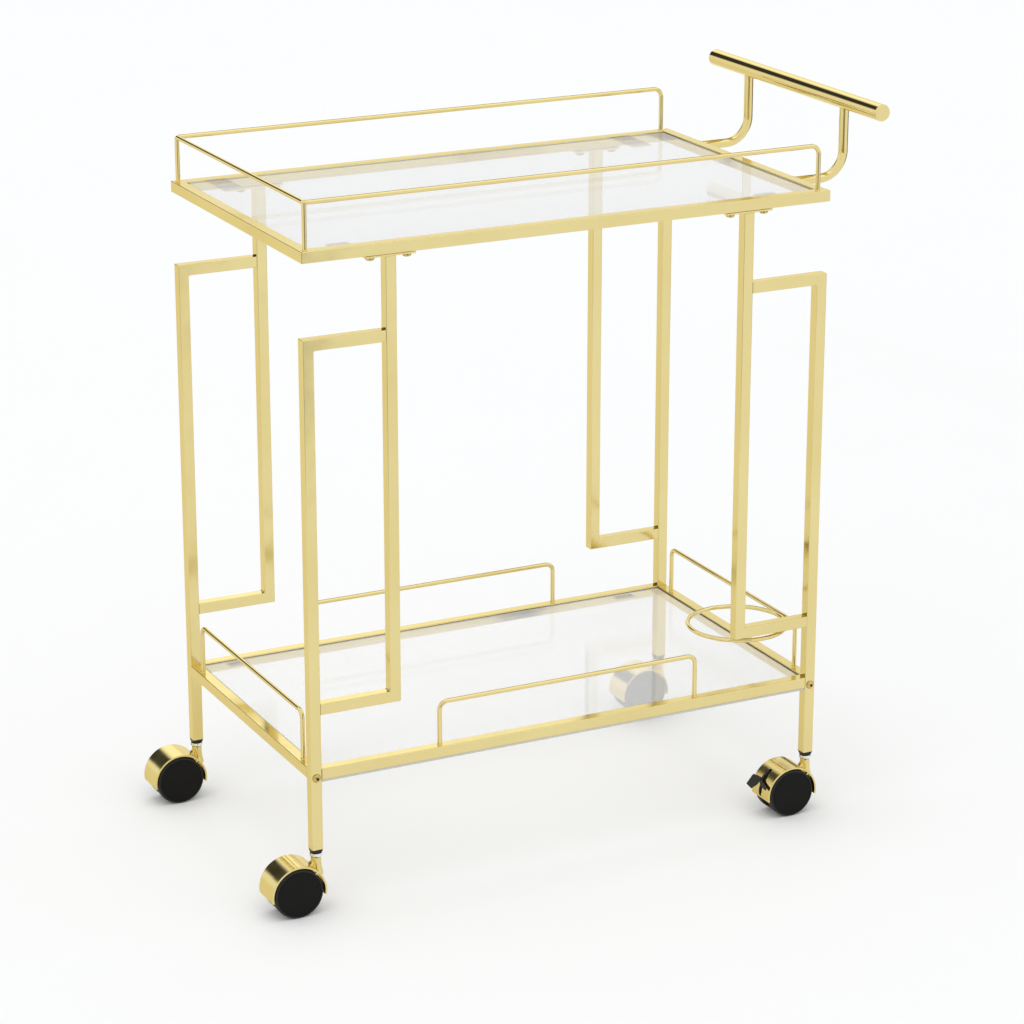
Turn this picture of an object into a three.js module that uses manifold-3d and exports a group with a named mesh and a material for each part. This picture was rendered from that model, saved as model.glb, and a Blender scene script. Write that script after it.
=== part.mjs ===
/**
 * Bar cart on wheels: a two-shelf serving trolley of polished square tube.
 *
 * Millimetres, +Z up. The cart is drawn about the middle of its trays with the floor at z = 0: +X runs
 * along the length towards the push handle, -Y is the front. The finished group is then moved along X,
 * so that its origin is the bottom centre of the whole object, handle and trailing casters included.
 *
 * Each piece is one closed solid in one named mesh. Pieces that touch over a face keep FACE_GAP apart.
 */
import * as THREE from "three";
import { mergeVertices } from "three/addons/utils/BufferGeometryUtils.js";
import Module from "manifold-3d";

const wasm = await Module();
wasm.setup();

/* ---------------------------------------------------------------- driving dimensions */

const TUBE = 12; //              square tube of the whole frame, outside
const FACE_GAP = 0.3; //         clearance between pieces that meet face to face

const TRAY_LENGTH = 600; //      top tray, outside, along X
const TRAY_WIDTH = 350; //       top tray, outside, along Y
const TRAY_TOP = 700; //         top face of the top tray above the floor
const SHELF_TOP = 156; //        top face of the lower shelf's beams

const LEG_LENGTH = 600; //       over the outer posts, along X
const LEG_WIDTH = 346; //        over the outer posts, along Y
const LOOP_WIDTH = 102; //       closed rectangle of a leg, outside, along X
const LOOP_TOP = 610.5; //       top of that rectangle
const LOOP_BOTTOM = 215; //      bottom of that rectangle
const POST_BOTTOM = 67; //       lower end of an outer post
const PLUG_BORE = 9.6; //        inside of the tube, where the plug goes
const PLUG_DEPTH = 32;

const PLATE_LENGTH = 55; //      bolting plate on an inner post, along X
const PLATE_THICK = 2.5;
const PLATE_BOLT_SPACING = 40;

const GLASS_THICK = 5;
const GLASS_RECESS = 0.8; //     glass surface below the beams' top faces
const GLASS_GAP = 2; //          between a glass edge and its beam
const TAB = { length: 24, reach: 32, thick: 1.6, fromEnd: 56 }; // rests under a pane's long edges
const PAD_THICK = 0.6; //        soft pad between a tab and the pane

const WIRE_RADIUS = 2.4; //      guard rails and bottle ring
const GUARD_HEIGHT = 50; //      top guard, over the tray
const GUARD_END = 288; //        where the guard comes down at the handle end
const LONG_RAIL = { half: 152, height: 50 }; // shelf rails along X: half length, height over the beam
const END_RAIL = { half: 139, height: 55 }; //  shelf rails along Y
const WIRE_BEND = 9; //          centre-line radius of the rounded rail corners
const CORNER_BEND = 3.2; //      centre-line radius of the guard's tight corners

const RING_RADIUS = 54; //       bottle ring, centre line
const RING_Y = -113;

const BAR = { radius: 9, length: 350, x: 361, z: 776, chamfer: 0.8 };
const STRUT = { radius: 5, y: 100, bend: 28 };

const BOLT = { shank: 2.4, clearance: 2.8, headRadius: 5, headHeight: 3, length: 12 }; // plate bolts
const SIDE_BOLT = { headRadius: 4.8, headHeight: 3, length: 22 };
const SOCKET = { radius: 1.5, depth: 1.6 };

const WHEEL_RADIUS = 27;
const WHEEL = { inner: 6.6, outer: 17.2, bore: 3.4, boreEnd: 15, innerEdge: 1.6, outerEdge: 2.2 };
const TRAIL = 26; //             wheel axis behind the stem, towards -X
const HOOD = { outer: 30.5, inner: 28.8, halfWidth: 18, web: 5.8, lowest: 21.8 };
const WEB = { radius: 29.3, low: 22.8, footHalf: 6, foot: 20 }; // mid web: low and foot are heights
const BOSS = { radius: 6, top: 58.4, bottom: 26, bore: 3.85, boreBottom: 34 };
const STEM = { radius: 3.5, bottom: 36, top: 92 };
const COLLAR = { radius: 6.5, top: 62.2, bottom: 58.8, edge: 0.9 };
const PLUG = { flangeTop: POST_BOTTOM - FACE_GAP, flangeBottom: 62.5, bore: 3.8, taper: 0.9 };
const AXLE = { radius: 3, half: 14.4, seat: 3.3 };
const BRAKE_SLOT = { half: 2.6, inner: 17, from: 124, to: 186 }; // mid-plane slot, degrees about the axle
const BRAKE = { half: 2, pivot: { x: -17, z: 11 }, pin: 1.6, pinHole: 2 };
/* The pedal's rib, about the axle: its inner arc in degrees, then its back edge as [x, z] points. */
const RIB = {
  radius: 21,
  from: 170,
  to: 132,
  back: [
    [-24.5, 25],
    [-31, 18.5],
    [-40.5, 11.5],
    [-39, 9],
    [-35.5, 8],
    [-34.5, 2],
  ],
};
/* The foot plate in plan: one half as [along, across] points, its slope in degrees and its root. */
const FOOT_PLATE = {
  root: [0, -4],
  half: [
    [0, 4],
    [-7, 12.5],
    [-10, 13.5],
    [-14, 10.5],
    [-9.5, 2.5],
  ],
  thick: 3,
  slope: 32,
  x: -30.6,
  z: 16.2,
};

const SAME_POINT = 1e-4; //      vertices closer than this are one
const OVERLAP = 1; //            how far joined solids run into each other, and cutters run past a face
const ROUND = 16; //             facets of pins and of the holes they sit or turn in
const WIRE_SIDES = 8; //         facets of a wire, round its section
const RING_STEPS = 36; //        and along the bottle ring
const STRUT_SIDES = 12;
const BAR_SIDES = 24;
const BOLT_SIDES = 12;
const WHEEL_SIDES = 28;
const HOOD_STEPS = 16;

/* ---------------------------------------------------------------- places worked out */

const TRAY_X = TRAY_LENGTH / 2;
const TRAY_Y = TRAY_WIDTH / 2;
const POST_X = (LEG_LENGTH - TUBE) / 2;
const POST_Y = (LEG_WIDTH - TUBE) / 2;
const INNER_POST_X = LEG_LENGTH / 2 - LOOP_WIDTH + TUBE / 2;
const HALF = TUBE / 2;
const SHELF_MID = SHELF_TOP - HALF;
const SIDE_BOLT_Z = SHELF_MID - 3;
const PLATE_TOP = TRAY_TOP - TUBE - FACE_GAP;

const ENDS = [
  ["left", -1],
  ["right", 1],
];
const SIDES = [
  ["front", -1],
  ["back", 1],
];

/* ---------------------------------------------------------------- materials */

const gold = new THREE.MeshStandardMaterial({ color: 0xe3d08a, roughness: 0.12, metalness: 1 });
const goldPlated = new THREE.MeshStandardMaterial({ color: 0xe0cb80, roughness: 0.2, metalness: 0.9 });
const chrome = new THREE.MeshStandardMaterial({ color: 0xd8dadc, roughness: 0.1, metalness: 1 });
const steel = new THREE.MeshStandardMaterial({ color: 0xa8abad, roughness: 0.35, metalness: 1 });
const plastic = new THREE.MeshStandardMaterial({ color: 0x1c1c1d, roughness: 0.45, metalness: 0 });
const wheelBlack = new THREE.MeshStandardMaterial({ color: 0x232323, roughness: 0.55, metalness: 0 });
const glass = new THREE.MeshStandardMaterial({ color: 0xeef2f1, roughness: 0.03, opacity: 0.35 });

/* ---------------------------------------------------------------- solids */

/** A manifold solid from a closed three.js geometry. */
function solid(geometry) {
  const bare = geometry.clone();
  bare.deleteAttribute("normal");
  bare.deleteAttribute("uv");
  const merged = mergeVertices(bare, SAME_POINT);
  return new wasm.Manifold(
    new wasm.Mesh({
      numProp: 3,
      vertProperties: new Float32Array(merged.attributes.position.array),
      triVerts: new Uint32Array(merged.index.array),
    }),
  );
}

/** A three.js geometry from a manifold solid. */
function geometryOf(body) {
  const mesh = body.getMesh();
  const geometry = new THREE.BufferGeometry();
  geometry.setAttribute("position", new THREE.BufferAttribute(new Float32Array(mesh.vertProperties), 3));
  geometry.setIndex(new THREE.BufferAttribute(new Uint32Array(mesh.triVerts), 1));
  geometry.computeVertexNormals();
  return geometry;
}

/** A solid box from its two opposite corners. */
function box(low, high) {
  const size = high.map((value, i) => value - low[i]);
  const geometry = new THREE.BoxGeometry(...size);
  geometry.translate(...low.map((value, i) => value + size[i] / 2));
  return solid(geometry);
}

/** A solid round bar from one point to another. */
function bar(from, to, radius, sides = ROUND) {
  const start = new THREE.Vector3(...from);
  const along = new THREE.Vector3(...to).sub(start);
  const geometry = new THREE.CylinderGeometry(radius, radius, along.length(), sides);
  geometry.translate(0, along.length() / 2, 0);
  geometry.applyQuaternion(
    new THREE.Quaternion().setFromUnitVectors(new THREE.Vector3(0, 1, 0), along.clone().normalize()),
  );
  geometry.translate(...start.toArray());
  return solid(geometry);
}

/** A turned solid about the Y axis from a closed profile of [radius, y] points. */
function turned(profile, segments) {
  const points = profile.map(([r, y]) => new THREE.Vector2(r, y));
  return solid(new THREE.LatheGeometry(points, segments));
}

/** An outline in X and Z, extruded along Y from one side to the other. */
function slab(shape, fromY, toY, curveSegments = 12) {
  const settings = { depth: toY - fromY, bevelEnabled: false, curveSegments };
  const geometry = new THREE.ExtrudeGeometry(shape, settings);
  geometry.rotateX(Math.PI / 2);
  geometry.translate(0, toY, 0);
  return solid(geometry);
}

/** All the given solids joined into one. */
function joined(...bodies) {
  return bodies.reduce((all, body) => all.add(body));
}

/** The first solid with the others cut out of it. */
function cut(body, ...tools) {
  return tools.reduce((rest, tool) => rest.subtract(tool), body);
}

/**
 * A bent wire's centre line: straight runs joined by round bends, with stations only where it turns.
 * ExtrudeGeometry reads a path's spaced points and its frames, so both are given per station.
 */
class WirePath extends THREE.Curve {
  constructor(corners, bends, bendSteps = 6) {
    super();
    this.stations = [];
    const points = corners.map((corner) => new THREE.Vector3(...corner));
    const last = points.length - 1;
    this.addStation(points[0], points[1].clone().sub(points[0]));
    for (let i = 1; i < last; i += 1) {
      this.addBend(points[i - 1], points[i], points[i + 1], bends[i - 1], bendSteps);
    }
    this.addStation(points[last], points[last].clone().sub(points[last - 1]));
  }

  addStation(point, tangent) {
    this.stations.push({ point: point.clone(), tangent: tangent.clone().normalize() });
  }

  /** Right-angled round bend at a corner. */
  addBend(before, corner, after, radius, steps) {
    const into = corner.clone().sub(before).normalize();
    const out = after.clone().sub(corner).normalize();
    const centre = corner.clone().addScaledVector(into, -radius).addScaledVector(out, radius);
    for (let step = 0; step <= steps; step += 1) {
      const angle = (step / steps) * (Math.PI / 2);
      const point = centre.clone();
      point.addScaledVector(out, -radius * Math.cos(angle));
      point.addScaledVector(into, radius * Math.sin(angle));
      const tangent = into.clone().multiplyScalar(Math.cos(angle)).addScaledVector(out, Math.sin(angle));
      this.addStation(point, tangent);
    }
  }

  get steps() {
    return this.stations.length - 1;
  }

  getSpacedPoints() {
    return this.stations.map((station) => station.point);
  }

  /** Frames carried along the wire without twist. */
  computeFrenetFrames() {
    const tangents = this.stations.map((station) => station.tangent);
    const side = Math.abs(tangents[0].y) < 0.9 ? new THREE.Vector3(0, 1, 0) : new THREE.Vector3(1, 0, 0);
    const normals = [side.addScaledVector(tangents[0], -side.dot(tangents[0])).normalize()];
    for (let i = 1; i < tangents.length; i += 1) {
      const turn = new THREE.Quaternion().setFromUnitVectors(tangents[i - 1], tangents[i]);
      normals.push(normals[i - 1].clone().applyQuaternion(turn));
    }
    const binormals = tangents.map((tangent, i) => new THREE.Vector3().crossVectors(tangent, normals[i]));
    return { tangents, normals, binormals };
  }
}

/** A solid wire of round section along a bent path. */
function wire(path, radius, sides = WIRE_SIDES) {
  const corners = Array.from({ length: sides }, (_, i) => {
    const angle = ((i + 0.5) / sides) * Math.PI * 2;
    return new THREE.Vector2(radius * Math.cos(angle), radius * Math.sin(angle));
  });
  const settings = { steps: path.steps, extrudePath: path, bevelEnabled: false };
  return solid(new THREE.ExtrudeGeometry(new THREE.Shape(corners), settings));
}

/* ---------------------------------------------------------------- the group */

const cart = new THREE.Group();

function add(name, body, material, position = [0, 0, 0], rotation = [0, 0, 0]) {
  const mesh = new THREE.Mesh(geometryOf(body), material);
  mesh.name = name;
  mesh.position.set(...position);
  mesh.rotation.set(...rotation);
  cart.add(mesh);
}

/* ---------------------------------------------------------------- top tray frame */

/** A square tube with both ends mitred, its outer face at y = 0 and its inner face at y = TUBE. */
function mitredBeam(length) {
  const half = length / 2 - FACE_GAP / 2;
  const outline = new THREE.Shape();
  outline.moveTo(-half, 0);
  outline.lineTo(half, 0);
  outline.lineTo(half - TUBE, TUBE);
  outline.lineTo(-half + TUBE, TUBE);
  return solid(new THREE.ExtrudeGeometry(outline, { depth: TUBE, bevelEnabled: false }));
}

/** The two tabs that hold a pane, welded to the inner face of a long beam. */
function glassTabs(beamLength, beamTop) {
  const top = beamTop - GLASS_RECESS - GLASS_THICK - PAD_THICK;
  return ENDS.map(([, end]) => {
    const x = end * (beamLength / 2 - TAB.fromEnd);
    return box(
      [x - TAB.length / 2, TUBE - OVERLAP, top - TAB.thick],
      [x + TAB.length / 2, TUBE + TAB.reach, top],
    );
  });
}

/** Where the bolts of an inner post's plate go, along X. */
function plateBolts(end) {
  return [-1, 1].map((side) => end * INNER_POST_X + (side * PLATE_BOLT_SPACING) / 2);
}

function longTopBeam() {
  const holes = ENDS.flatMap(([, end]) => plateBolts(end)).map((x) => {
    const y = TRAY_Y - POST_Y;
    return bar([x, y, -OVERLAP], [x, y, BOLT.length - PLATE_THICK], BOLT.clearance);
  });
  return cut(joined(mitredBeam(TRAY_LENGTH), ...glassTabs(TRAY_LENGTH, TUBE)), ...holes);
}

for (const [name, side] of SIDES) {
  const turn = side < 0 ? 0 : Math.PI;
  add(`top_beam_${name}`, longTopBeam(), gold, [0, side * TRAY_Y, TRAY_TOP - TUBE], [0, 0, turn]);
}
for (const [name, end] of ENDS) {
  const turn = (end * Math.PI) / 2;
  add(`top_beam_${name}`, mitredBeam(TRAY_WIDTH), gold, [end * TRAY_X, 0, TRAY_TOP - TUBE], [0, 0, turn]);
}

/* ---------------------------------------------------------------- lower shelf frame */

const SHELF_SPAN_X = POST_X - HALF - FACE_GAP;
const SHELF_SPAN_Y = POST_Y - HALF - FACE_GAP;

/** Long beam of the lower shelf, its outer face at y = 0, with its two tabs. */
function longShelfBeam() {
  const beam = box([-SHELF_SPAN_X, 0, 0], [SHELF_SPAN_X, TUBE, TUBE]);
  return joined(beam, ...glassTabs(LEG_LENGTH, TUBE));
}

/** Short beam of the lower shelf, with a bolt hole in each end. */
function endShelfBeam(end) {
  const x = end * POST_X;
  const beam = box([x - HALF, -SHELF_SPAN_Y, SHELF_TOP - TUBE], [x + HALF, SHELF_SPAN_Y, SHELF_TOP]);
  const holes = SIDES.map(([, side]) => {
    const mouth = side * (SHELF_SPAN_Y + OVERLAP);
    const bottom = side * (SHELF_SPAN_Y - SIDE_BOLT.length + TUBE - 2 * OVERLAP);
    return bar([x, mouth, SIDE_BOLT_Z], [x, bottom, SIDE_BOLT_Z], BOLT.clearance);
  });
  return cut(beam, ...holes);
}

for (const [name, side] of SIDES) {
  const turn = side < 0 ? 0 : Math.PI;
  const outerFace = (side * LEG_WIDTH) / 2;
  add(`shelf_beam_${name}`, longShelfBeam(), gold, [0, outerFace, SHELF_TOP - TUBE], [0, 0, turn]);
}
for (const [name, end] of ENDS) {
  add(`shelf_beam_${name}`, endShelfBeam(end), gold);
}

/* ---------------------------------------------------------------- legs */

/** One welded leg: outer post, inner post, two bars that close the rectangle, and the bolting plate. */
function leg(end, side) {
  const y = [side * POST_Y - HALF, side * POST_Y + HALF];
  const span = (x0, x1) => [Math.min(end * x0, end * x1), Math.max(end * x0, end * x1)];
  const piece = (xs, z0, z1) => box([xs[0], y[0], z0], [xs[1], y[1], z1]);
  const outerX = span(POST_X - HALF, POST_X + HALF);
  const innerX = span(INNER_POST_X - HALF, INNER_POST_X + HALF);
  const across = span(INNER_POST_X - HALF, POST_X + HALF);
  const plateX = span(INNER_POST_X - PLATE_LENGTH / 2, INNER_POST_X + PLATE_LENGTH / 2);
  const frame = joined(
    piece(outerX, POST_BOTTOM, LOOP_TOP),
    piece(innerX, LOOP_BOTTOM, PLATE_TOP - PLATE_THICK / 2),
    piece(across, LOOP_TOP - TUBE, LOOP_TOP),
    piece(across, LOOP_BOTTOM, LOOP_BOTTOM + TUBE),
    piece(plateX, PLATE_TOP - PLATE_THICK, PLATE_TOP),
  );
  const x = end * POST_X;
  const half = PLUG_BORE / 2;
  const socket = box(
    [x - half, side * POST_Y - half, POST_BOTTOM - OVERLAP],
    [x + half, side * POST_Y + half, POST_BOTTOM + PLUG_DEPTH],
  );
  const sideHole = bar(
    [x, side * (POST_Y - TUBE), SIDE_BOLT_Z],
    [x, side * (POST_Y + TUBE), SIDE_BOLT_Z],
    BOLT.clearance,
  );
  const plateHoles = plateBolts(end).map((at) =>
    bar([at, side * POST_Y, PLATE_TOP - TUBE], [at, side * POST_Y, PLATE_TOP + OVERLAP], BOLT.clearance),
  );
  return cut(frame, socket, sideHole, ...plateHoles);
}

/* ---------------------------------------------------------------- bolts */

/** Dome-head socket bolt along Y, its head's seat at y = 0 and its shank towards -Y. */
function domeBolt(headRadius, headHeight, length) {
  const dome = [0, Math.PI / 4, Math.PI / 2].map((angle) => [
    SOCKET.radius + (headRadius - SOCKET.radius) * Math.cos(angle),
    headHeight * Math.sin(angle),
  ]);
  return turned(
    [
      [0, -length],
      [BOLT.shank, -length],
      [BOLT.shank, 0],
      ...dome,
      [SOCKET.radius, headHeight - SOCKET.depth],
      [0, headHeight - SOCKET.depth],
    ],
    BOLT_SIDES,
  );
}

for (const [sideName, side] of SIDES) {
  for (const [endName, end] of ENDS) {
    const corner = `${sideName}_${endName}`;
    add(`leg_${corner}`, leg(end, side), gold);
    plateBolts(end).forEach((x, i) => {
      const seat = PLATE_TOP - PLATE_THICK - FACE_GAP;
      const place = [x, side * POST_Y, seat];
      const bolt = domeBolt(BOLT.headRadius, BOLT.headHeight, BOLT.length);
      add(`plate_bolt_${corner}_${i + 1}`, bolt, goldPlated, place, [-Math.PI / 2, 0, 0]);
    });
    const sideBolt = domeBolt(SIDE_BOLT.headRadius, SIDE_BOLT.headHeight - FACE_GAP, SIDE_BOLT.length);
    const turn = side < 0 ? Math.PI : 0;
    const face = side * (POST_Y + HALF + FACE_GAP);
    add(`shelf_bolt_${corner}`, sideBolt, goldPlated, [end * POST_X, face, SIDE_BOLT_Z], [0, 0, turn]);
  }
}

/* ---------------------------------------------------------------- glass */

/** A flat pane with ground edges. */
function pane(halfX, halfY, top) {
  return box([-halfX, -halfY, top - GLASS_THICK], [halfX, halfY, top]);
}

const paneX = TRAY_X - TUBE - GLASS_GAP;
add("top_glass", pane(paneX, TRAY_Y - TUBE - GLASS_GAP, TRAY_TOP - GLASS_RECESS), glass);
add("lower_glass", pane(paneX, LEG_WIDTH / 2 - TUBE - GLASS_GAP, SHELF_TOP - GLASS_RECESS), glass);

/* ---------------------------------------------------------------- guard rails */

/** Wire guard round three sides of the top tray, open at the handle end, on four uprights. */
function topGuard() {
  const [x, y, z] = [TRAY_X - HALF, TRAY_Y - HALF, TRAY_TOP + GUARD_HEIGHT - WIRE_RADIUS];
  const rail = new WirePath(
    [
      [GUARD_END, -y, TRAY_TOP],
      [GUARD_END, -y, z],
      [-x, -y, z],
      [-x, y, z],
      [GUARD_END, y, z],
      [GUARD_END, y, TRAY_TOP],
    ],
    [WIRE_BEND, CORNER_BEND, CORNER_BEND, WIRE_BEND],
  );
  const uprights = [-y, y].map((at) => bar([-x, at, TRAY_TOP], [-x, at, z], WIRE_RADIUS, WIRE_SIDES));
  return joined(wire(rail, WIRE_RADIUS), ...uprights);
}

/** A wire hoop standing on a beam of the lower shelf, drawn along X about the origin. */
function hoop({ half, height }) {
  const z = height - WIRE_RADIUS;
  const path = new WirePath(
    [
      [-half, 0, 0],
      [-half, 0, z],
      [half, 0, z],
      [half, 0, 0],
    ],
    [WIRE_BEND, WIRE_BEND],
  );
  return wire(path, WIRE_RADIUS);
}

add("top_guard_rail", topGuard(), gold);
for (const [name, side] of SIDES) {
  add(`shelf_rail_${name}`, hoop(LONG_RAIL), gold, [0, side * POST_Y, SHELF_TOP]);
}
for (const [name, end] of ENDS) {
  add(`shelf_rail_${name}`, hoop(END_RAIL), gold, [end * POST_X, 0, SHELF_TOP], [0, 0, Math.PI / 2]);
}

/** Flat ring for one bottle, level with the top of the right-hand rail and beside it. */
function bottleRing() {
  return solid(new THREE.TorusGeometry(RING_RADIUS, WIRE_RADIUS, WIRE_SIDES, RING_STEPS));
}

const ringX = POST_X - 2 * WIRE_RADIUS - FACE_GAP / 2 - RING_RADIUS;
add("bottle_ring", bottleRing(), gold, [ringX, RING_Y, SHELF_TOP + END_RAIL.height - WIRE_RADIUS]);

/* ---------------------------------------------------------------- push handle */

/** Round grip bar along Y with its rims broken. */
function gripBar() {
  const { radius, length, chamfer } = BAR;
  const half = length / 2;
  return turned(
    [
      [0, -half],
      [radius - chamfer, -half],
      [radius, -half + chamfer],
      [radius, half - chamfer],
      [radius - chamfer, half],
      [0, half],
    ],
    BAR_SIDES,
  );
}

/** Bent strut from the outer face of the right-hand beam up to the grip bar. */
function strut(y) {
  const z = TRAY_TOP - HALF;
  const path = new WirePath(
    [
      [TRAY_X + FACE_GAP, y, z],
      [BAR.x, y, z],
      [BAR.x, y, BAR.z],
    ],
    [STRUT.bend],
  );
  const reach = STRUT.radius * 2;
  const seatRadius = BAR.radius + FACE_GAP;
  const seat = bar([BAR.x, y - reach, BAR.z], [BAR.x, y + reach, BAR.z], seatRadius, BAR_SIDES);
  return cut(wire(path, STRUT.radius, STRUT_SIDES), seat);
}

add("handle_bar", gripBar(), gold, [BAR.x, 0, BAR.z]);
for (const [name, side] of SIDES) {
  add(`handle_strut_${name}`, strut(side * STRUT.y), gold);
}

/* ---------------------------------------------------------------- casters */
/* Each is drawn about its wheel axis: x = 0 and z = WHEEL_RADIUS there, with its stem at x = TRAIL. */

/** Black insert in a post's lower end, bored for the stem, drawn about the stem at x = 0. */
function postPlug() {
  const inside = PLUG_BORE / 2 - FACE_GAP;
  const [wide, narrow] = [HALF * Math.SQRT2, (HALF - PLUG.taper) * Math.SQRT2];
  const flange = new THREE.CylinderGeometry(wide, narrow, 1, 4, 1);
  flange.rotateY(Math.PI / 4);
  flange.rotateX(Math.PI / 2);
  flange.scale(1, 1, PLUG.flangeTop - PLUG.flangeBottom);
  flange.translate(0, 0, (PLUG.flangeTop + PLUG.flangeBottom) / 2);
  const top = POST_BOTTOM + PLUG_DEPTH - FACE_GAP;
  const core = box([-inside, -inside, PLUG.flangeTop - OVERLAP], [inside, inside, top]);
  const bore = bar([0, 0, PLUG.flangeBottom - OVERLAP], [0, 0, STEM.top + OVERLAP], PLUG.bore);
  return cut(joined(solid(flange), core), bore);
}

/** Plated swivel stem with its collar, drawn about x = 0 and turned about the Y axis first. */
function stem() {
  const body = turned(
    [
      [0, STEM.bottom],
      [STEM.radius, STEM.bottom],
      [STEM.radius, COLLAR.bottom],
      [COLLAR.radius - COLLAR.edge, COLLAR.bottom],
      [COLLAR.radius, COLLAR.bottom + COLLAR.edge],
      [COLLAR.radius, COLLAR.top],
      [STEM.radius, COLLAR.top],
      [STEM.radius, STEM.top],
      [0, STEM.top],
    ],
    ROUND,
  );
  return body.rotate([90, 0, 0]);
}

/** Closed outline of a ring sector about the axle, in degrees from +X towards +Z. */
function sector(inner, outer, from, to) {
  const [a, b] = [THREE.MathUtils.degToRad(from), THREE.MathUtils.degToRad(to)];
  const shape = new THREE.Shape();
  shape.absarc(0, WHEEL_RADIUS, outer, a, b, false);
  shape.absarc(0, WHEEL_RADIUS, inner, b, a, true);
  shape.closePath();
  return shape;
}

/** The outline of the mid web: it carries the axle and joins the stem boss to the hood. */
function webOutline() {
  const { radius, low, footHalf, foot } = WEB;
  const shape = new THREE.Shape();
  shape.absarc(0, WHEEL_RADIUS, radius, 0, Math.PI, false);
  shape.lineTo(-radius, low);
  shape.lineTo(-footHalf, foot);
  shape.lineTo(footHalf, foot);
  shape.lineTo(radius, low);
  shape.closePath();
  return shape;
}

/** Angle below the axle's level at which the hood's rim ends, in degrees. */
const rimAngle = THREE.MathUtils.radToDeg(Math.asin((WHEEL_RADIUS - HOOD.lowest) / HOOD.outer));

/** Twin-wheel caster hood: a half-round shell, the mid web and the stem boss. */
function hood(withBrake) {
  const rim = sector(HOOD.inner, HOOD.outer, -rimAngle, 180 + rimAngle);
  const shell = slab(rim, -HOOD.halfWidth, HOOD.halfWidth, HOOD_STEPS);
  const web = slab(webOutline(), -HOOD.web, HOOD.web, HOOD_STEPS);
  const boss = bar([TRAIL, 0, BOSS.bottom], [TRAIL, 0, BOSS.top], BOSS.radius);
  const beyond = HOOD.web + OVERLAP;
  const cuts = [
    bar([TRAIL, 0, BOSS.boreBottom], [TRAIL, 0, BOSS.top + OVERLAP], BOSS.bore),
    bar([0, -beyond, WHEEL_RADIUS], [0, beyond, WHEEL_RADIUS], AXLE.seat),
  ];
  if (withBrake) {
    const { half, inner, from, to } = BRAKE_SLOT;
    const [x, z] = [BRAKE.pivot.x, WHEEL_RADIUS + BRAKE.pivot.z];
    cuts.push(slab(sector(inner, HOOD.outer + OVERLAP, from, to), -half, half));
    cuts.push(bar([x, -beyond, z], [x, beyond, z], BRAKE.pinHole));
  }
  return cut(joined(shell, web, boss), ...cuts);
}

/** One wheel about Y, its inner face towards the web: rubber tread, dished inside, plain outside. */
function wheel(side) {
  const { inner, outer, bore, boreEnd, innerEdge, outerEdge } = WHEEL;
  const body = turned(
    [
      [0, boreEnd],
      [bore, boreEnd],
      [bore, inner],
      [WHEEL_RADIUS - innerEdge, inner],
      [WHEEL_RADIUS, inner + innerEdge],
      [WHEEL_RADIUS, outer - outerEdge],
      [WHEEL_RADIUS - outerEdge, outer],
      [0, outer],
    ],
    WHEEL_SIDES,
  );
  return side > 0 ? body : body.rotate([0, 0, 180]);
}

/** Foot pedal: a rib in the hood's slot with its pivot pin, and a pressed wing on each side of it. */
function brakePedal() {
  const { radius, from, to, back } = RIB;
  const shape = new THREE.Shape();
  shape.absarc(0, WHEEL_RADIUS, radius, THREE.MathUtils.degToRad(from), THREE.MathUtils.degToRad(to), true);
  for (const [x, z] of back) {
    shape.lineTo(x, WHEEL_RADIUS + z);
  }
  shape.closePath();
  const { x, z } = BRAKE.pivot;
  const pinEnd = HOOD.web - FACE_GAP;
  const pin = bar([x, -pinEnd, WHEEL_RADIUS + z], [x, pinEnd, WHEEL_RADIUS + z], BRAKE.pin);
  return joined(slab(shape, -BRAKE.half, BRAKE.half), pin, footPlate());
}

/** The foot plate: a swallow-tailed outline in plan, sloping down and away from the hood. */
function footPlate() {
  const { root, half, thick, slope, x, z } = FOOT_PLATE;
  const side = [root, ...half];
  const mirrored = half.map(([along, across]) => [along, -across]).reverse();
  const outline = new THREE.Shape([...side, ...mirrored].map((point) => new THREE.Vector2(...point)));
  const plate = new THREE.ExtrudeGeometry(outline, { depth: thick, bevelEnabled: false });
  plate.rotateY(THREE.MathUtils.degToRad(-slope));
  plate.translate(x, 0, WHEEL_RADIUS + z);
  return solid(plate);
}

for (const [sideName, side] of SIDES) {
  for (const [endName, end] of ENDS) {
    const corner = `${sideName}_${endName}`;
    const at = [end * POST_X, side * POST_Y, 0];
    const wheels = [at[0] - TRAIL, at[1], 0];
    const axis = [wheels[0], wheels[1], WHEEL_RADIUS];
    const hasBrake = corner === "front_right";
    add(`post_plug_${corner}`, postPlug(), plastic, at);
    add(`caster_stem_${corner}`, stem(), chrome, at);
    add(`caster_hood_${corner}`, hood(hasBrake), goldPlated, wheels);
    add(`caster_axle_${corner}`, bar([0, -AXLE.half, 0], [0, AXLE.half, 0], AXLE.radius), steel, axis);
    add(`caster_wheel_${corner}_front`, wheel(-1), wheelBlack, axis);
    add(`caster_wheel_${corner}_back`, wheel(1), wheelBlack, axis);
    if (hasBrake) {
      add(`brake_pedal_${corner}`, brakePedal(), plastic, wheels);
    }
  }
}

/* ---------------------------------------------------------------- origin */

const furthestRight = BAR.x + BAR.radius;
const furthestLeft = -(POST_X + TRAIL + HOOD.outer);
cart.position.x = -(furthestRight + furthestLeft) / 2;

export default cart;
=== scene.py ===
import math

import bmesh
import bpy
from mathutils import Matrix, Vector


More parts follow.
